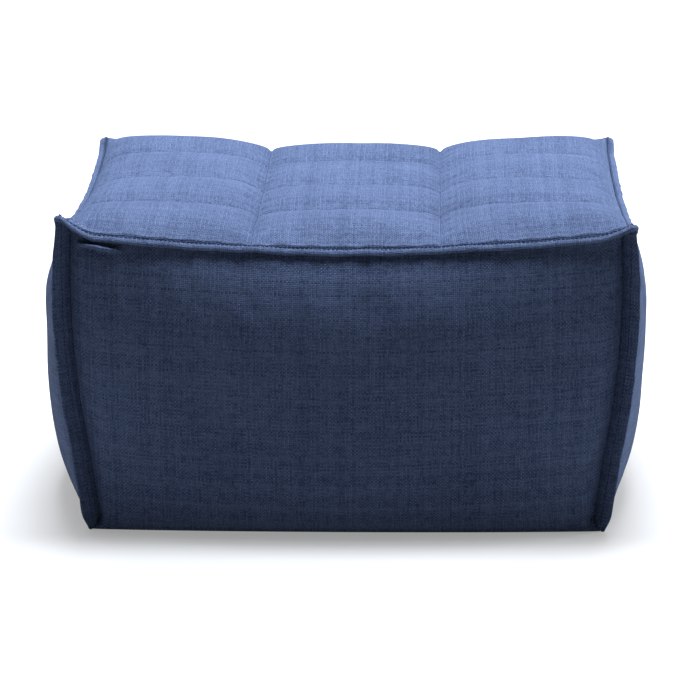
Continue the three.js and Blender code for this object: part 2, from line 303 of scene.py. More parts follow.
def ear_shape(t, at_back):
    """How an ear rises towards its corner: to a point in front, and to a blunt tab at the back."""
    run = np.clip((np.abs(t) - EAR_START) / (1 - EAR_START), 0, 1)
    return np.where(at_back, np.sin(0.5 * math.pi * run) ** 2, run ** EAR_POWER)


def seam_without_ears(side, t):
    """Height of a side's seam at t along its run, before its ends turn up."""
    return side["seam"] + (SEAM_SHOULDER - side["seam"]) * np.abs(t) ** SEAM_DIP_POWER


def seam_height(side, t):
    """Height of a side's seam at t along its run, with its ears."""
    at_back = np.where(t < 0, *side["at_back"])
    return seam_without_ears(side, t) + np.where(t < 0, *side["ears"]) * ear_shape(t, at_back)


def seam_bow(side, t):
    """How far a side's seam bows in at t along its run."""
    return side["bow"] * (1 - t * t)


def ripple(along, wavelengths, seed):
    """An uneven wave of about one unit, from a few sines with seeded phases."""
    chance = np.random.default_rng(seed)
    wave = np.zeros_like(along)
    for wavelength in wavelengths:
        wave += np.sin(2 * math.pi * along / wavelength + chance.uniform(0, 2 * math.pi))
    return wave / len(wavelengths)


def top_base(u, v):
    """Height of the top without its pads, at u across and v deep, both from -1 to 1."""
    front, right, back, left = SIDES
    across, deep = (u + 1) / 2, (v + 1) / 2
    height = (1 - deep) * seam_without_ears(front, u) + deep * seam_without_ears(back, -u)
    height += (1 - across) * seam_without_ears(left, -v) + across * seam_without_ears(right, v)
    return height - SEAM_SHOULDER + TOP_CROWN * (1 - u * u) * (1 - v * v)


def pad_place(u, count):
    """Which pad u falls in, where in it from -1 to 1, and whether on its half next to the edge."""
    place = count * (u + 1) / 2
    index = np.clip(np.floor(place).astype(int), 0, count - 1)
    t = 2 * (place - index) - 1
    towards_edge = ((index == 0) & (t < 0)) | ((index == count - 1) & (t > 0))
    return index, t, towards_edge


def soft_drop(t):
    """How a pad falls towards a crease between rows, or towards the front or back seam."""
    a = np.abs(t)
    return 0.9 * a ** 2 + 0.1 * a ** 8


def even_drop(t):
    """How a pad falls towards a crease between columns."""
    a = np.abs(t)
    return 0.68 * a ** 2 + 0.32 * a ** 8


def late_drop(t):
    """How a pad falls towards the left or right seam: late, and then steeply."""
    a = np.abs(t)
    return 0.16 * a ** 2 + 0.26 * a ** 4 + 0.58 * a ** 14


def top_surface(u, v):
    """Points of the quilted top."""
    rows, columns = PAD_CRESTS.shape
    column, across, edge_column = pad_place(u, columns)
    row, deep, edge_row = pad_place(v, rows)
    row_centres = -1 + (2 * np.arange(rows) + 1) / rows

    # Along each column of pads the creases are shallow
    crest = np.zeros_like(u)
    for i in range(columns):
        crest_line = np.interp(v, row_centres, PAD_CRESTS[:, i])
        pad_middle = top_base(np.full_like(u, -1 + (2 * i + 1) / columns), v)
        crest = np.where(column == i, crest_line - pad_middle, crest)
    drop = soft_drop(deep)
    crest = np.where(edge_row, crest * (1 - drop), crest - ROW_CREASE_DEPTHS[column] * drop)

    # Between the columns they are deep
    crease = np.interp(v, row_centres, COLUMN_CREASES)
    crease = np.where(edge_row, crease * (1 - drop), crease - COLUMN_CREASE_DIP * drop)
    crease = np.where(edge_column, 0, crease)
    drop = np.where(edge_column, late_drop(across), even_drop(across))
    height = top_base(u, v) + crease + (crest - crease) * (1 - drop)
    front, right, back, left = SIDES
    ears = np.where(v < 0, np.where(u < 0, *front["ears"]), np.where(u > 0, *back["ears"]))
    height += ears * ear_shape(u, v > 0) * ear_shape(v, v > 0)

    # Filling is never quite even, and the stitching gathers the cloth a little beside it
    along_x, along_y = u * TOP_HALF, v * TOP_HALF
    from_column = (1 - np.abs(across)) * TOP_HALF / columns
    from_row = (1 - np.abs(deep)) * TOP_HALF / rows
    inside = (1 - across ** 2) * (1 - deep ** 2)
    height += TOP_UNEVENNESS * inside * ripple(along_x + 0.4 * along_y, (0.11, 0.17, 0.27), 5)
    height += TOP_UNEVENNESS * inside * ripple(along_y - 0.3 * along_x, (0.09, 0.15, 0.24), 6)
    beside_column = np.exp(-from_column / GATHER_REACH)
    beside_row = np.exp(-from_row / GATHER_REACH)
    gather = GATHER_HEIGHT * beside_column * ripple(along_y, (0.013, 0.021, 0.034), 7)
    gather += GATHER_HEIGHT * beside_row * ripple(along_x, (0.014, 0.023, 0.037), 8)
    height += gather * np.clip(np.minimum(from_column, from_row) / 0.004, 0, 1)

    # The stitching also pulls the creases and the edge down a little further
    pinch = np.zeros_like(u)
    for distance, near_edge, crease_pinch in ((from_column, edge_column, COLUMN_PINCH),
                                              (from_row, edge_row, ROW_PINCH)):
        depth = np.where(near_edge, EDGE_DITCH, crease_pinch)
        width = np.where(near_edge, EDGE_DITCH_WIDTH, PINCH_WIDTH)
        pinch = np.maximum(pinch, depth * np.exp(-((distance / width) ** 2)))
    x = u * (TOP_HALF - np.where(u < 0, seam_bow(left, v), seam_bow(right, v)))
    y = v * (TOP_HALF - np.where(v < 0, seam_bow(front, u), seam_bow(back, u)))
    return np.stack((x, y, height - pinch), -1)


def pad_lines(pads, steps):
    """Mesh lines across the pads, closer together at the creases."""
    s = np.arange(steps) * 2 / steps - 1
    t = 0.3 * s + 0.7 * np.sin(0.5 * math.pi * s)
    lines = np.concatenate([-1 + (2 * pad + 1 + t) / pads for pad in range(pads)])
    edge = 1 - EDGE_LINES / TOP_HALF
    return np.sort(np.concatenate((lines, [1.0], edge, -edge)))


def panel_height(side, t, level):
    """Height of a side panel's point at t along its run, from its height share."""
    top = seam_height(side, t) - FLANGE_THICKNESS - GAP
    return PANEL_BOTTOM + level * (top - PANEL_BOTTOM)


def out_reach(side, level, t):
    """How far out a side panel reaches at a height share and a place along its run."""
    swell = side["swell"] * smooth_column(level, 2) * np.clip(1 - t * t, 0, 1) ** SWELL_POWER
    return smooth_column(level, 1) - seam_bow(side, t) * level ** 4 + swell


def turned(quarters, along, out, height):
    """Points of a side in the stool's own plan, turned to the side they belong to."""
    angle = quarters * math.pi / 2
    x = along * math.cos(angle) + out * math.sin(angle)
    y = along * math.sin(angle) - out * math.cos(angle)
    return np.stack(np.broadcast_arrays(x, y, height), -1)


def grid_faces(count_rows, count_columns, first=0, flip=False):
    """Quads of a grid of points that are numbered row by row."""
    row, column = np.meshgrid(np.arange(count_rows - 1), np.arange(count_columns - 1), indexing="ij")
    corner = (first + row * count_columns + column).ravel()
    quads = np.stack((corner, corner + 1, corner + count_columns + 1, corner + count_columns), -1)
    return quads[:, ::-1] if flip else quads


def cloth_lengths(grid):
    """A UV map in metres for a grid of points, measured along its rows and columns."""
    across = np.linalg.norm(np.diff(grid, axis=1), axis=2)
    across = np.concatenate((np.zeros((len(grid), 1)), np.cumsum(across, axis=1)), axis=1)
    across -= across[:, [grid.shape[1] // 2]]
    along = np.linalg.norm(np.diff(grid, axis=0), axis=2)
    along = np.concatenate((np.zeros((1, grid.shape[1])), np.cumsum(along, axis=0)), axis=0)
    along -= along[[len(grid) // 2], :]
    return np.stack((across, along), -1)


def make_piece(name, points, faces, uv, material):
    """A smooth piece of cloth from points, faces and a UV map, riding on the stool's body."""
    mesh = bpy.data.meshes.new(name)
    placed = np.asarray(points).reshape(-1, 3) + np.array(stool_middle)
    mesh.from_pydata(placed.tolist(), [], [list(map(int, face)) for face in faces])
    layer = mesh.uv_layers.new(name="cloth")
    corner_points = np.zeros(len(mesh.loops), int)
    mesh.loops.foreach_get("vertex_index", corner_points)
    layer.data.foreach_set("uv", np.asarray(uv).reshape(-1, 2)[corner_points].astype(np.float32).ravel())
    mesh.polygons.foreach_set("use_smooth", np.ones(len(mesh.polygons), bool))
    mesh.materials.append(material)
    mesh.validate()
    piece = bpy.data.objects.new(name, mesh)
    bpy.context.scene.collection.objects.link(piece)
    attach(piece, "root")
    return piece


def halfway(values):
    """Values of a grid with a smooth new row between each two of its rows."""
    padded = np.concatenate((values[:1], values, values[-1:]))
    between = (9 * (padded[1:-2] + padded[2:-1]) - padded[:-3] - padded[3:]) / 16
    finer = np.empty((2 * len(values) - 1,) + values.shape[1:])
    finer[::2] = values
    finer[1::2] = between
    return finer


def fill_out(grid, held, pressure, slack, most):
    """Swell a grid of cloth under pressure while its held points stay where they are."""

    # Every other line of the grid is simulated, and the lines between follow smoothly
    coarse = grid[::2, ::2]
    mesh = bpy.data.meshes.new("cloth_to_fill")
    mesh.from_pydata(coarse.reshape(-1, 3).tolist(), [], grid_faces(*coarse.shape[:2]).tolist())
    panel = bpy.data.objects.new("cloth_to_fill", mesh)
    bpy.context.scene.collection.objects.link(panel)
    group = panel.vertex_groups.new(name="held")
    group.add([int(i) for i in np.flatnonzero(held[::2, ::2])], 1.0, "REPLACE")
    filling = panel.modifiers.new("filling", "CLOTH")
    filling.settings.vertex_group_mass = "held"
    filling.settings.use_pressure = True
    filling.settings.uniform_pressure_force = pressure
    filling.settings.effector_weights.gravity = 0.0
    filling.settings.quality = 5
    filling.settings.mass = 0.3
    filling.settings.tension_stiffness = CLOTH_STIFFNESS
    filling.settings.compression_stiffness = CLOTH_STIFFNESS
    filling.settings.shear_stiffness = CLOTH_SHEAR
    filling.settings.bending_stiffness = CLOTH_BENDING
    filling.settings.shrink_min = -slack
    filling.collision_settings.use_collision = False
    filling.collision_settings.use_self_collision = False
    filling.point_cache.frame_start = 1
    filling.point_cache.frame_end = FILL_FRAMES
    for time in range(1, FILL_FRAMES + 1):
        bpy.context.scene.frame_set(time)
    swollen = panel.evaluated_get(bpy.context.evaluated_depsgraph_get())
    after = np.zeros(coarse.size)
    swollen.data.vertices.foreach_get("co", after)

    # No point moves further than the cloth can give
    move = after.reshape(coarse.shape) - coarse
    length = np.linalg.norm(move, axis=-1, keepdims=True)
    move *= most * np.tanh(length / most) / np.maximum(length, 1e-9)
    bpy.data.objects.remove(panel)
    bpy.data.meshes.remove(mesh)
    bpy.context.scene.frame_set(1)
    return grid + halfway(halfway(move).transpose(1, 0, 2)).transpose(1, 0, 2)


pad_rows, pad_columns = PAD_CRESTS.shape
across_lines = pad_lines(pad_columns, PAD_STEPS_ACROSS)
deep_lines = pad_lines(pad_rows, PAD_STEPS_DEEP)
grid_v, grid_u = np.meshgrid(deep_lines, across_lines, indexing="ij")
top_grid = top_surface(grid_u, grid_v)
_, across, _ = pad_place(grid_u, pad_columns)
_, deep, _ = pad_place(grid_v, pad_rows)
from_crease = np.minimum((1 - np.abs(across)) / pad_columns, (1 - np.abs(deep)) / pad_rows)
top_grid[..., 2] -= TOP_UNFILLED * (1 - across ** 2) * (1 - deep ** 2)
held = from_crease * TOP_HALF < CREASE_HELD
top_grid = fill_out(top_grid, held, TOP_PRESSURE, TOP_SLACK, TOP_MOST)
rows, columns = grid_u.shape

# The ring of the top's edge, and the rings of the filling below it down to the base
number = np.arange(rows * columns).reshape(rows, columns)
edge_ring = np.concatenate((number[0, :-1], number[:-1, -1], number[-1, :0:-1], number[:0:-1, 0]))
side_lines = [across_lines, deep_lines, -across_lines[::-1], -deep_lines[::-1]]


def ring_points(level, inset, lift=0.0):
    """One ring of the filling, inset from the outer face of the side panels."""
    parts = []
    for quarter, side in enumerate(SIDES):
        t = side_lines[quarter][:-1]
        along = t * (smooth_column(level, 1) - inset)
        out = out_reach(side, level, t) - inset
        parts.append(turned(quarter, along, out, panel_height(side, t, level) + lift))
    return np.concatenate(parts)


filling_inset = PANEL_THICKNESS + GAP
lip = []
for quarter, side in enumerate(SIDES):
    t = side_lines[quarter][:-1]
    lip_height = seam_height(side, t) - FLANGE_THICKNESS
    lip.append(turned(quarter, t * TOP_HALF, TOP_HALF - seam_bow(side, t), lip_height))
filling_rings = [np.concatenate(lip), ring_points(1.0, filling_inset, GAP)]
filling_rings += [ring_points(level, filling_inset) for level in PANEL_SECTIONS[-2::-1, 0]]
body_points = [top_grid.reshape(-1, 3)]
body_faces = [grid_faces(rows, columns)]
above = edge_ring
first = rows * columns
for ring in filling_rings:
    below = np.arange(first, first + len(ring))
    body_points.append(ring)
    body_faces.append(np.stack((below, np.roll(below, -1), np.roll(above, -1), above), -1))
    above = below
    first += len(ring)
body_points.append(np.array([[0.0, 0.0, PANEL_BOTTOM]]))
bottom_fan = np.stack((np.roll(above, -1), above, np.full(len(above), first)), -1)
body_points = np.concatenate(body_points)
body_uv = body_points[:, :2].copy()
body_uv[:rows * columns] = cloth_lengths(top_grid).reshape(-1, 2)
all_faces = [face for part in body_faces for face in part] + list(bottom_fan)
quilted_top = make_piece("quilted_top", body_points, all_faces, body_uv, cloth)
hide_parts("quilted_body")

# Side panels: four padded panels that swell between their seams and taper to the floor.
# Each is drawn in under the top's flange and beside the corners' flanges, where it is sewn, and
# its hem comes down over the edge of the base.
PANEL_COLUMNS = 161
PANEL_ROWS = 121
PANEL_PRESSURE = 3.0
PANEL_SLACK = 0.003
PANEL_MOST = 0.005
PANEL_UNFILLED = 0.0045
CORNER_SLOT = (FLANGE_THICKNESS / 2 + GAP) * math.sqrt(2)
CORNER_ROLL = 0.0092
CORNER_ROLL_WIDTH = 0.010
HEM_BOTTOM = 0.0004
HEM_THICKNESS = 0.0003
HEM_LIFT = 0.0016
CORNER_CROWDING = 0.44
ROLL_BACK = 0.7
FILLING_PUSH_ALONG = 0.0013
FILLING_PUSH_UP = 0.0010
EVEN_BESIDE_CORNER = 0.12
EVEN_BESIDE_END = 0.10
PUCKER = 0.0008
PUCKER_START = 0.006
CORNER_PUCKER_REACH = 0.022
END_PUCKER_REACH = 0.024
HELD_AT_FLOOR = 0.016
HELD_AT_TOP = 0.007
HELD_COLUMNS = 5
END_SEARCH_STEPS = 30


def panel_end(side, level, inset):
    """How far along its run a panel reaches before it meets the corner's flange."""
    width = smooth_column(level, 1) - inset
    near = 1 - CORNER_SLOT / width
    far = np.ones_like(near)
    for _ in range(END_SEARCH_STEPS):
        middle = (near + far) / 2
        open_width = out_reach(side, level, middle) - inset - middle * width
        near = np.where(open_width > CORNER_SLOT, middle, near)
        far = np.where(open_width > CORNER_SLOT, far, middle)
    return near


def unevenness(quarter, along, height, from_corner, from_ends):
    """How far the filling and the seams push a panel's outer face out or draw it in."""
    seed = 60 + 10 * quarter
    inside = np.clip(from_corner / EVEN_BESIDE_CORNER, 0, 1) * np.clip(from_ends / EVEN_BESIDE_END, 0, 1)
    push = FILLING_PUSH_ALONG * inside * ripple(along + 0.5 * height, (0.13, 0.21, 0.31), seed)
    push += FILLING_PUSH_UP * inside * ripple(height - 0.3 * along, (0.12, 0.19), seed + 1)
    near_corner = np.exp(-from_corner / CORNER_PUCKER_REACH) * np.clip(from_corner / PUCKER_START, 0, 1)
    push += PUCKER * near_corner * ripple(height, (0.017, 0.027, 0.045), seed + 2)
    near_end = np.exp(-from_ends / END_PUCKER_REACH) * np.clip(from_ends / PUCKER_START, 0, 1)
    push += PUCKER * near_end * ripple(along, (0.019, 0.031, 0.052), seed + 3)
    return push


def panel_face(side, quarter, inset):
    """The grid of one face of a side panel, inset from its outer face."""
    t = np.sin(np.linspace(-1, 1, PANEL_COLUMNS) * CORNER_CROWDING * math.pi)
    t /= math.sin(CORNER_CROWDING * math.pi)
    even = np.linspace(0, 1, PANEL_ROWS)
    level = 0.4 * (1 - np.cos(even * math.pi)) / 2 + 0.6 * np.sin(even * math.pi / 2)
    level, t = np.meshgrid(level, t, indexing="ij")
    end = panel_end(side, level, inset)
    s = t * end
    along = s * (smooth_column(level, 1) - inset)
    out = out_reach(side, level, s) - inset
    height = panel_height(side, s, level)
    if inset == 0:
        from_corner = (end - np.abs(s)) * smooth_column(level, 1)
        from_ends = np.minimum(height - PANEL_BOTTOM, panel_height(side, s, 1.0) - height)
        out += unevenness(quarter, along, height, from_corner, from_ends)
        roll = CORNER_ROLL * np.exp(-((from_corner / CORNER_ROLL_WIDTH) ** 2))
        roll *= np.clip(from_ends / 0.012, 0, 1)
        out -= ROLL_BACK * roll
        along -= np.sign(s) * roll
        if side["name"] == "front":
            out += tuck(along, height)
    return turned(quarter, along, out, height)


# A small tuck under the front left ear, which stands out far enough to catch the light
TUCK_START = (-0.328, 0.3640)
TUCK_END = (-0.268, 0.3538)
TUCK_DEPTH = 0.0112
TUCK_WIDTH = 0.0030


def tuck(along, height):
    """How far the small tuck stands out of the front panel."""
    length = math.dist(TUCK_START, TUCK_END)
    direction = ((TUCK_END[0] - TUCK_START[0]) / length, (TUCK_END[1] - TUCK_START[1]) / length)
    from_start = (along - TUCK_START[0], height - TUCK_START[1])
    run = (from_start[0] * direction[0] + from_start[1] * direction[1]) / length
    aside = from_start[1] * direction[0] - from_start[0] * direction[1]
    profile = np.clip(1 - (2 * run - 1) ** 2, 0, 1)
    return TUCK_DEPTH * profile * np.exp(-((aside / TUCK_WIDTH) ** 2))


def border(number):
    """Points of a grid's rim, up one end, along its top and down the other end."""
    return np.concatenate((number[:-1, -1], number[-1, :0:-1], number[:, 0][::-1]))


for quarter, side in enumerate(SIDES):
    outer = panel_face(side, quarter, 0.0)
    inner = panel_face(side, quarter, PANEL_THICKNESS)
    top_edge = outer[-1, :, 2]
    held = (outer[..., 2] < HELD_AT_FLOOR) | (top_edge - outer[..., 2] < HELD_AT_TOP)
    held[:, :HELD_COLUMNS] = True
    held[:, -HELD_COLUMNS:] = True
    middle = 1 - np.linspace(-1, 1, PANEL_COLUMNS) ** 2
    upright = np.clip(4 * (outer[..., 2] / top_edge) * (1 - outer[..., 2] / top_edge), 0, 1)
    outer -= PANEL_UNFILLED * (middle * upright)[..., None] * turned(quarter, 0.0, 1.0, 0.0)
    outer = fill_out(outer, held, PANEL_PRESSURE, PANEL_SLACK, PANEL_MOST)

    # The hem hangs from the outer face's lowest row, just outside the edge of the base
    s = np.linspace(-1, 1, PANEL_COLUMNS)
    lift = 0.5 + 0.5 * ripple(s, (0.9, 0.5, 0.33), 90 + quarter)
    hem_height = HEM_BOTTOM + HEM_LIFT * lift * np.clip((1 - np.abs(s)) / 0.2, 0, 1)
    low_outer, low_inner, high_inner = outer[0].copy(), outer[0].copy(), outer[0].copy()
    inward = turned(quarter, 0.0, -1.0, 0.0) * HEM_THICKNESS
    low_outer[:, 2] = hem_height
    low_inner[:, 2] = hem_height
    low_inner += inward
    high_inner += inward
    outer = np.concatenate((np.stack((high_inner, low_inner, low_outer)), outer))
    outer_rows, inner_rows = len(outer), len(inner)
    outer_number = np.arange(outer_rows * PANEL_COLUMNS).reshape(outer_rows, PANEL_COLUMNS)
    inner_number = np.arange(inner_rows * PANEL_COLUMNS).reshape(inner_rows, PANEL_COLUMNS)
    inner_number += outer_number.size
    face_number = outer_number[outer_rows - inner_rows:]
    outer_border, inner_border = border(face_number), border(inner_number)
    rim = np.stack((inner_border[:-1], inner_border[1:], outer_border[1:], outer_border[:-1]), -1)
    inner_foot, outer_foot = inner_number[0], outer_number[0]
    bottom = np.stack((inner_foot[:-1], inner_foot[1:], outer_foot[1:], outer_foot[:-1]), -1)
    hem_ends = [
        [outer_foot[-1], inner_foot[-1], *outer_number[3:0:-1, -1]],
        [inner_foot[0], *outer_number[:4, 0]],
    ]
    faces = [
        *grid_faces(outer_rows, PANEL_COLUMNS),
        *grid_faces(inner_rows, PANEL_COLUMNS, outer_number.size, flip=True),
        *rim, *bottom, *hem_ends,
    ]
    uv = np.concatenate((cloth_lengths(outer).reshape(-1, 2), cloth_lengths(inner).reshape(-1, 2)))
    panel_points = np.concatenate((outer.reshape(-1, 3), inner.reshape(-1, 3)))
    panel = make_piece(f"{side['name']}_side", panel_points, faces, uv, cloth)
    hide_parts(f"{side['name']}_panel")

# Flanges round the top: the edges of the top and of a side panel, folded outwards together and
# topstitched, so that a soft ridge stands out of the seam. It droops between the corners, and
# thickens and turns round each ear.
TOP_FLANGE_WIDTH = 0.0100
TOP_FLANGE_END_WIDTH = 0.0090
FLANGE_STEPS = 361
FLANGE_TURN_STEPS = 7
FLANGE_WAVE = 0.0009
FLANGE_TWIST = math.radians(6)
EAR_THICKENING = 0.50
STITCH_PLACE = 0.0012
CORNER_DROOP = 20
CORNER_CURL = 30
STITCH_DRAW = 0.0006
FLANGE_WIDTH_WAVE = 0.0006
FLANGE_SINK = 0.0006
EAR_LIFT = 0.0010
EDGE_TURN_LENGTH = 0.006


def fold_outline(root, width, thickness=FLANGE_THICKNESS, droop=0.0, curl=0.0):
    """Section of a folded flange that droops and curls: how far out and how high each point is."""
    s = np.array((0.0, 0.07, 0.14, 0.2, 0.27, 0.36, 0.48, 0.6, 0.72, 0.82, 0.9, 0.96, 1.0))
    half = 0.5 * thickness * (0.66 + 0.34 * np.clip(s / 0.45, 0, 1) ** 0.7)
    half = half * np.sqrt(np.clip(1 - (np.clip(s - 0.5, 0, 1) / 0.5) ** 2.2, 0, 1))
    half -= STITCH_DRAW * np.exp(-(((s - 0.17) / 0.07) ** 2))
    angle = droop + curl * s
    steps = np.diff(s) * (width - root)
    middle_angle = 0.5 * (angle[1:] + angle[:-1])
    out = root + np.concatenate(([0], np.cumsum(steps * np.cos(middle_angle))))
    high = -np.concatenate(([0], np.cumsum(steps * np.sin(middle_angle))))
    lower = (out - half * np.sin(angle), high - half * np.cos(angle))
    upper = (out + half * np.sin(angle), high + half * np.cos(angle))
    return [np.concatenate((low, up[-2::-1])) for low, up in zip(lower, upper)]


def loft(name, sections, uv, node):
    """A strip lofted through closed sections, with its two ends closed."""
    sections = np.asarray(sections)
    count, around = sections.shape[:2]
    number = np.arange(count * around).reshape(count, around)
    beside = np.roll(number, -1, axis=1)
    quads = np.stack((number[1:], beside[1:], beside[:-1], number[:-1]), -1).reshape(-1, 4)
    faces = [*quads, number[0], number[-1][::-1]]
    strip = make_piece(name, sections, faces, uv, cloth)
    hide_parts(node)
    return strip


stitch_lines = []
turning = np.linspace(0, math.pi / 4, FLANGE_TURN_STEPS + 1)[1:]
for quarter, side in enumerate(SIDES):
    t = np.pad(np.linspace(-1, 1, FLANGE_STEPS), len(turning), mode="edge")
    turn = np.concatenate((-turning[::-1], np.zeros(FLANGE_STEPS), turning))
    length = t * TOP_HALF
    free = 1 - t ** 8
    ear = np.clip((np.abs(t) - 0.92) / 0.08, 0, 1) ** 1.5
    droop = np.radians(side["droop"] + (CORNER_DROOP - side["droop"]) * t ** 8)
    droop = droop + FLANGE_TWIST * free * ripple(length, (0.045, 0.071, 0.16), 11 + quarter)
    curl = np.radians(side["curl"] + (CORNER_CURL - side["curl"]) * t ** 8)
    width = TOP_FLANGE_WIDTH + (TOP_FLANGE_END_WIDTH - TOP_FLANGE_WIDTH) * t ** 8
    width = width + FLANGE_WIDTH_WAVE * free * ripple(length, (0.012, 0.03, 0.055), 21 + quarter)
    thickness = FLANGE_THICKNESS * (1 + EAR_THICKENING * ear)
    middle = seam_height(side, t) - FLANGE_THICKNESS / 2 - FLANGE_SINK + EAR_LIFT * ear
    middle = middle + FLANGE_WAVE * free * ripple(length, (0.06, 0.13, 0.24), 31 + quarter)
    root = TOP_HALF - seam_bow(side, t) + GAP
    sections = []
    uv = []
    stitches = []
    for i in range(len(t)):
        reach, rise = fold_outline(0.0, width[i], thickness[i], droop[i], curl[i])
        along = length[i] + reach * math.sin(turn[i])
        section = turned(quarter, along, root[i] + reach * math.cos(turn[i]), middle[i] + rise)
        sections.append(section)
        around = np.concatenate(([0], np.cumsum(np.hypot(np.diff(reach), np.diff(rise)))))
        turned_length = length[i] + EDGE_TURN_LENGTH * turn[i]
        uv.append(np.stack((np.full_like(around, turned_length), around), -1))
        upper = slice(None, len(section) // 2 - 1, -1)
        place = [np.interp(STITCH_PLACE, reach[upper], section[upper, axis]) for axis in range(3)]
        if turn[i] == 0:
            stitches.append(place)
    loft(f"top_flange_{side['name']}", sections, uv, f"top_seam_{side['name']}")
    stitch_lines.append(np.array(stitches) + (0.0, 0.0, 0.0001))

# Flanges of the corners: the same folded ridge, standing out on each corner's diagonal from the
# floor up to the ears, with its lower end rounded off outside the edge of the base.
CORNER_NAMES = ("front_right", "back_right", "back_left", "front_left")
CORNER_STEPS = 201
CORNER_TOP_CLEARANCE = 0.0009
CORNER_FOOT_ROOT = 0.0010
CORNER_FOOT_ROUNDING = 0.002
CORNER_SWAY = 0.0018
CORNER_SWAY_AT_EAR = 0.0022
CORNER_SWAY_WIDTH = 0.014
CORNER_WIDTH_WAVE = 0.0007
CORNER_STITCH_SHIFT = 0.001
CORNER_FIRST_STITCH = 6

for quarter, (side, corner_name) in enumerate(zip(SIDES, CORNER_NAMES)):
    level = np.concatenate(([0.0, 0.0], np.linspace(0, 1, CORNER_STEPS)))
    corner = smooth_column(level, 1)
    width = smooth_column(level, 3)
    height = panel_height(side, np.ones_like(level), level) - CORNER_TOP_CLEARANCE * level
    height[0] = HEM_BOTTOM
    width[0] -= CORNER_FOOT_ROUNDING
    root = np.full_like(level, -PANEL_THICKNESS * math.sqrt(2))
    root[:2] = CORNER_FOOT_ROOT
    free = np.sin(math.pi * level)
    sway = CORNER_SWAY * free * ripple(height, (0.07, 0.15, 0.29), 41 + quarter)
    by_ear = np.exp(-(((level - 0.9) / 0.07) ** 2))
    sway += CORNER_SWAY_AT_EAR * by_ear * ripple(height, (0.05, 0.08), 45 + quarter)
    width = width + CORNER_WIDTH_WAVE * free * ripple(height, (0.016, 0.04, 0.08), 51 + quarter)
    sections = []
    uv = []
    stitches = ([], [])
    for i in range(len(level)):
        outline, aside = fold_outline(root[i], width[i])
        lean = aside + sway[i] * np.clip(outline / CORNER_SWAY_WIDTH, 0, 1)
        along = corner[i] + (outline - lean) / math.sqrt(2)
        out = corner[i] + (outline + lean) / math.sqrt(2)
        section = turned(quarter, along, out, np.full_like(out, height[i]))
        sections.append(section)
        around = np.concatenate(([0], np.cumsum(np.hypot(np.diff(outline), np.diff(aside)))))
        uv.append(np.stack((around, np.full_like(around, height[i])), -1))
        if i < CORNER_FIRST_STITCH:
            continue
        half = len(section) // 2
        stitch_place = STITCH_PLACE - CORNER_STITCH_SHIFT
        for line, face, reach in zip(stitches, (section[:half], section[half:][::-1]),
                                     (outline[:half], outline[half:][::-1])):
            line.append([np.interp(stitch_place, reach, face[:, axis]) for axis in range(3)])
    loft(f"corner_flange_{corner_name}", sections, uv, f"corner_seam_{corner_name}")
    stitch_lines += [np.array(line) for line in stitches]

# Topstitching: a thick navy thread in every seam, one stitch after another along the root of
# each flange and down in the top's creases. Geometry Nodes lays the stitches along their lines.
STITCH_LENGTH = 0.0042
STITCH_GAP = 0.0011
THREAD_RADIUS = 0.00055
THREAD_COLOUR = (0.006, 0.010, 0.028, 1.0)
THREAD_LIGHT_COLOUR = (0.014, 0.024, 0.060, 1.0)
CREASE_END = 0.992
CREASE_STEPS = 301
ROW_THREAD_SINK = 0.0003

crease_run = np.linspace(-CREASE_END, CREASE_END, CREASE_STEPS)
for crease in (-1 / 3, 1 / 3):
    stitch_lines.append(top_surface(np.full_like(crease_run, crease), crease_run))
for crease in (-0.5, 0.0, 0.5):
    row_crease = top_surface(crease_run, np.full_like(crease_run, crease))
    stitch_lines.append(row_crease - (0.0, 0.0, ROW_THREAD_SINK))

thread_points = np.concatenate(stitch_lines) + np.array(stool_middle)
thread_edges = []
first = 0
for line in stitch_lines:
    thread_edges += [(first + i, first + i + 1) for i in range(len(line) - 1)]
    first += len(line)
thread_mesh = bpy.data.meshes.new("stitch_lines")
thread_mesh.from_pydata(thread_points.tolist(), thread_edges, [])
stitch_path = bpy.data.objects.new("stitch_path", thread_mesh)
bpy.context.scene.collection.objects.link(stitch_path)

thread = bpy.data.materials.new("seam_thread")
thread.use_nodes = True
thread_tree = thread.node_tree
thread_place = add_node(thread_tree, "ShaderNodeTexCoord").outputs["Object"]
thread_twist = add_node(thread_tree, "ShaderNodeTexNoise", Vector=thread_place, Scale=2400.0,
                        Detail=1.0).outputs[0]
thread_shader = thread_tree.nodes["Principled BSDF"]
thread_tree.links.new(mix_colours(thread_tree, thread_twist, THREAD_COLOUR, THREAD_LIGHT_COLOUR),
                      thread_shader.inputs["Base Color"])
thread_bump = add_node(thread_tree, "ShaderNodeBump", Height=thread_twist, Strength=0.5, Distance=0.0002)
thread_tree.links.new(thread_bump.outputs[0], thread_shader.inputs["Normal"])
thread_shader.inputs["Roughness"].default_value = 0.75
thread_shader.inputs["Specular IOR Level"].default_value = 0.05

stitch_values = {
    "Stitch Length": STITCH_LENGTH,
    "Stitch Gap": STITCH_GAP,
    "Thread Radius": THREAD_RADIUS,
}
stitching = bpy.data.node_groups.new("stitching", "GeometryNodeTree")
stitching.interface.new_socket("Geometry", in_out="INPUT", socket_type="NodeSocketGeometry")
for input_name in stitch_values:
    stitching.interface.new_socket(input_name, in_out="INPUT", socket_type="NodeSocketFloat")
stitching.interface.new_socket("Geometry", in_out="OUTPUT", socket_type="NodeSocketGeometry")
group_in = stitching.nodes.new("NodeGroupInput")
group_out = stitching.nodes.new("NodeGroupOutput")
run = add_node(stitching, "GeometryNodeMeshToCurve", Mesh=group_in.outputs["Geometry"])
step = math_node(stitching, "ADD", group_in.outputs["Stitch Length"], group_in.outputs["Stitch Gap"])
places = add_node(stitching, "GeometryNodeResampleCurve", {"mode": "LENGTH"}, Curve=run.outputs[0],
                  Length=step)
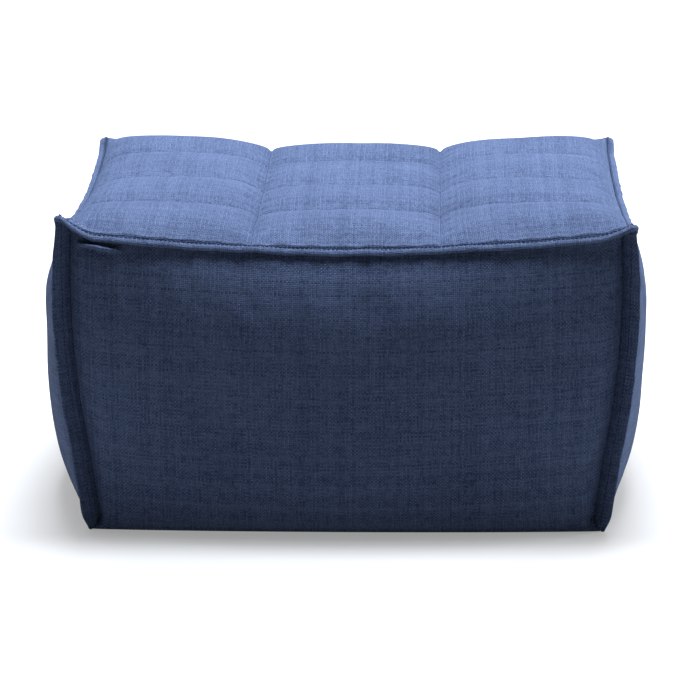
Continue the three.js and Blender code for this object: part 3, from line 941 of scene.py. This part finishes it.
heading = add_node(stitching, "GeometryNodeInputTangent")
aligned = add_node(stitching, "FunctionNodeAlignRotationToVector", {"axis": "X"},
                   Vector=heading.outputs[0])
half_length = math_node(stitching, "MULTIPLY", group_in.outputs["Stitch Length"], 0.5)
stitch_size = add_node(stitching, "ShaderNodeCombineXYZ", X=half_length,
                       Y=group_in.outputs["Thread Radius"], Z=group_in.outputs["Thread Radius"])
stitch = add_node(stitching, "GeometryNodeMeshUVSphere", Segments=6, Rings=5, Radius=1.0)
lying = add_node(stitching, "GeometryNodeTransform", Geometry=stitch.outputs[0],
                 Rotation=(0.0, math.pi / 2, 0.0))
placed = add_node(stitching, "GeometryNodeInstanceOnPoints", Points=places.outputs[0],
                  Instance=lying.outputs[0], Rotation=aligned.outputs[0], Scale=stitch_size.outputs[0])
real = add_node(stitching, "GeometryNodeRealizeInstances", Geometry=placed.outputs[0])
finished = add_node(stitching, "GeometryNodeSetMaterial", Geometry=real.outputs[0], Material=thread)
stitching.links.new(finished.outputs[0], group_out.inputs[0])

modifier = stitch_path.modifiers.new("stitching", "NODES")
modifier.node_group = stitching
for item in stitching.interface.items_tree:
    if item.in_out == "INPUT" and item.name in stitch_values:
        modifier[item.identifier] = stitch_values[item.name]
depsgraph = bpy.context.evaluated_depsgraph_get()
topstitching_mesh = bpy.data.meshes.new_from_object(stitch_path.evaluated_get(depsgraph))
bpy.data.objects.remove(stitch_path)
topstitching = bpy.data.objects.new("topstitching", topstitching_mesh)
bpy.context.scene.collection.objects.link(topstitching)
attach(topstitching, "root")

# Base: a plain darker cloth, stretched flat under the stool, on which it rests. Its edge lies
# inside the hems of the side panels and the feet of the corners' flanges.
BASE_LIGHT = (0.045, 0.060, 0.100, 1.0)
BASE_DARK = (0.024, 0.033, 0.060, 1.0)

base_cloth = bpy.data.materials.new("base_cloth")
base_cloth.use_nodes = True
base_tree = base_cloth.node_tree
base_place = add_node(base_tree, "ShaderNodeTexCoord").outputs["Object"]
base_weave = add_node(base_tree, "ShaderNodeTexNoise", Vector=base_place, Scale=900.0,
                      Detail=2.0).outputs[0]
base_shader = base_tree.nodes["Principled BSDF"]
base_tree.links.new(mix_colours(base_tree, base_weave, BASE_DARK, BASE_LIGHT),
                    base_shader.inputs["Base Color"])
base_bump = add_node(base_tree, "ShaderNodeBump", Height=base_weave, Strength=0.4, Distance=0.0005)
base_tree.links.new(base_bump.outputs[0], base_shader.inputs["Normal"])
base_shader.inputs["Roughness"].default_value = 0.9
base_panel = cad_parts["base_panel"]
base_panel.data.materials.clear()
base_panel.data.materials.append(base_cloth)

# Floor and light: a pale floor that glows a little, so that its shadow isn't black, two soft lights
# overhead, a wide one behind that keeps the floor white, and a softer one on each side. None stands
# in front, so the front stays in shade.
FLOOR_RADIUS = 14.0
FLOOR_SIDES = 96
FLOOR_COLOUR = (0.29, 0.29, 0.29, 1.0)
FLOOR_GLOW = 0.31
FLOOR_MOTTLE = 1.02
COOL_LIGHT = (0.94, 0.99, 1.07)
ROOM_GLOW = 0.01

floor_mesh = bpy.data.meshes.new("floor")
floor_angles = np.linspace(0, 2 * math.pi, FLOOR_SIDES, endpoint=False)
floor_points = np.stack((np.cos(floor_angles), np.sin(floor_angles), 0 * floor_angles), -1)
floor_points *= FLOOR_RADIUS
floor_mesh.from_pydata(floor_points.tolist(), [], [list(range(FLOOR_SIDES))])
floor = bpy.data.objects.new("floor", floor_mesh)
bpy.context.scene.collection.objects.link(floor)
floor_material = bpy.data.materials.new("floor_paint")
floor_material.use_nodes = True
floor_tree = floor_material.node_tree
floor_place = add_node(floor_tree, "ShaderNodeTexCoord").outputs["Object"]
floor_noise = add_node(floor_tree, "ShaderNodeTexNoise", Vector=floor_place, Scale=3.0,
                       Detail=3.0).outputs[0]
floor_shader = floor_tree.nodes["Principled BSDF"]
floor_light = tuple(FLOOR_MOTTLE * c for c in FLOOR_COLOUR[:3]) + (1.0,)
floor_tree.links.new(mix_colours(floor_tree, floor_noise, FLOOR_COLOUR, floor_light),
                     floor_shader.inputs["Base Color"])
floor_shader.inputs["Roughness"].default_value = 0.8
floor_shader.inputs["Emission Color"].default_value = (1.0, 1.0, 1.0, 1.0)
floor_shader.inputs["Emission Strength"].default_value = FLOOR_GLOW
floor_shader.inputs["Specular IOR Level"].default_value = 0.1
floor_mesh.materials.append(floor_material)


def soft_light(name, place, aim, size, power, colour=(1.0, 1.0, 1.0)):
    """A rectangular light that shines from its place towards its aim."""
    data = bpy.data.lights.new(name, "AREA")
    data.shape = "RECTANGLE"
    data.size, data.size_y = size
    data.energy = power
    data.color = colour
    light = bpy.data.objects.new(name, data)
    bpy.context.scene.collection.objects.link(light)
    light.location = place
    light.rotation_euler = (Vector(aim) - Vector(place)).to_track_quat("-Z", "Y").to_euler()


soft_light("overhead", (0.15, 0.85, 3.4), (0.15, 0.85, 0.0), (2.0, 3.0), 315.0, COOL_LIGHT)
soft_light("narrow overhead", (0.10, 0.20, 3.4), (0.10, 0.20, 0.0), (1.8, 0.9), 135.0, COOL_LIGHT)
soft_light("backdrop", (0.0, 5.6, 4.5), (0.0, 5.6, 0.0), (9.0, 7.0), 990.0)
soft_light("right", (3.5, 0.4, 1.0), (0.0, 0.2, 0.2), (2.0, 1.2), 160.0)
soft_light("left", (-3.5, 0.3, 0.9), (0.0, 0.2, 0.2), (2.0, 1.0), 60.0)

world = bpy.data.worlds.new("studio")
world.use_nodes = True
world.node_tree.nodes["Background"].inputs["Color"].default_value = (1.0, 1.0, 1.0, 1.0)
world.node_tree.nodes["Background"].inputs["Strength"].default_value = ROOM_GLOW
bpy.context.scene.world = world
bpy.context.scene.view_settings.view_transform = "Standard"
